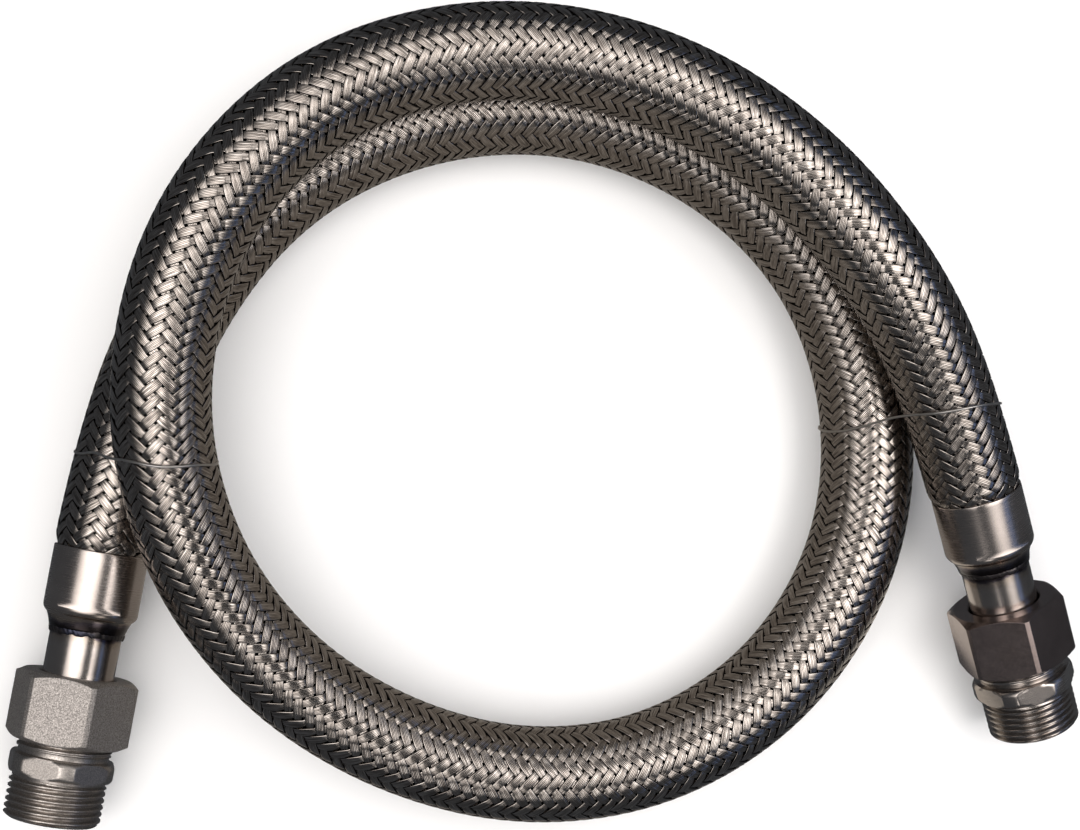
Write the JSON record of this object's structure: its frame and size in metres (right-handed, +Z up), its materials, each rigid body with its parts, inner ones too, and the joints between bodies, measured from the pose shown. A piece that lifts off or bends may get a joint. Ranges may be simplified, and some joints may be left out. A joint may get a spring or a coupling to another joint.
{
  "type": "braided supply line",
  "caption": "Coiled braided stainless flexible metal hose with a union nut and male pipe thread fitting at each end, tied with thin wire.",
  "frame": {"origin": "on the surface the coil lies on, under the middle of the box round the two end fittings and the binding wires", "axes": "+Z up off the surface, +X from the inlet (left) fitting to the outlet (right) fitting, +Y from the fittings towards the top of the coil"},
  "size_m": [0.3878, 0.2864, 0.0707],
  "materials": {
    "braid": "woven stainless wire",
    "core": "corrugated stainless strip",
    "collar": "polished stainless",
    "weld": "heat tinted",
    "tail": "polished stainless",
    "nut": "satin stainless",
    "adapter": "turned stainless",
    "gasket": "fibre sealing ring",
    "wire": "annealed wire"
  },
  "bodies": {
    "hose": {"wire_braid": "braid", "corrugated_core": "core", "inlet_collar": "collar", "outlet_collar": "collar", "inlet_weld_bead": "weld", "outlet_weld_bead": "weld", "inlet_tail_tube": "tail", "outlet_tail_tube": "tail", "tie_wire_left": "wire", "tie_wire_right": "wire"},
    "inlet_nut": {"inlet_union_nut": "nut"},
    "inlet_adapter": {"inlet_union_adapter": "adapter", "inlet_gasket": "gasket"},
    "outlet_nut": {"outlet_union_nut": "nut"},
    "outlet_adapter": {"outlet_union_adapter": "adapter", "outlet_gasket": "gasket"}
  },
  "joints": [
    {"name": "inlet_nut_turn", "type": "hinge", "parent": "hose", "child": "inlet_nut", "pos_m": [-0.17067, -0.03351, 0.02101], "axis": [0.1822, 0.9829, -0.0267], "range_deg": [0, 1440]},
    {"name": "inlet_adapter_slide", "type": "slide", "parent": "hose", "child": "inlet_adapter", "axis": [-0.1822, -0.9829, 0.0267], "range_m": [0, 0.00924]},
    {"name": "outlet_nut_turn", "type": "hinge", "parent": "hose", "child": "outlet_nut", "pos_m": [0.16627, -0.01098, 0.02397], "axis": [-0.3138, 0.9275, 0.203], "range_deg": [0, 1440]},
    {"name": "outlet_adapter_slide", "type": "slide", "parent": "hose", "child": "outlet_adapter", "axis": [0.3138, -0.9275, -0.203], "range_m": [0, 0.00924]}
  ],
  "couplings": [
    {"joint": "inlet_adapter_slide", "follows": "inlet_nut_turn", "m_per_rad": 0.00036749},
    {"joint": "outlet_adapter_slide", "follows": "outlet_nut_turn", "m_per_rad": 0.00036749}
  ]
}
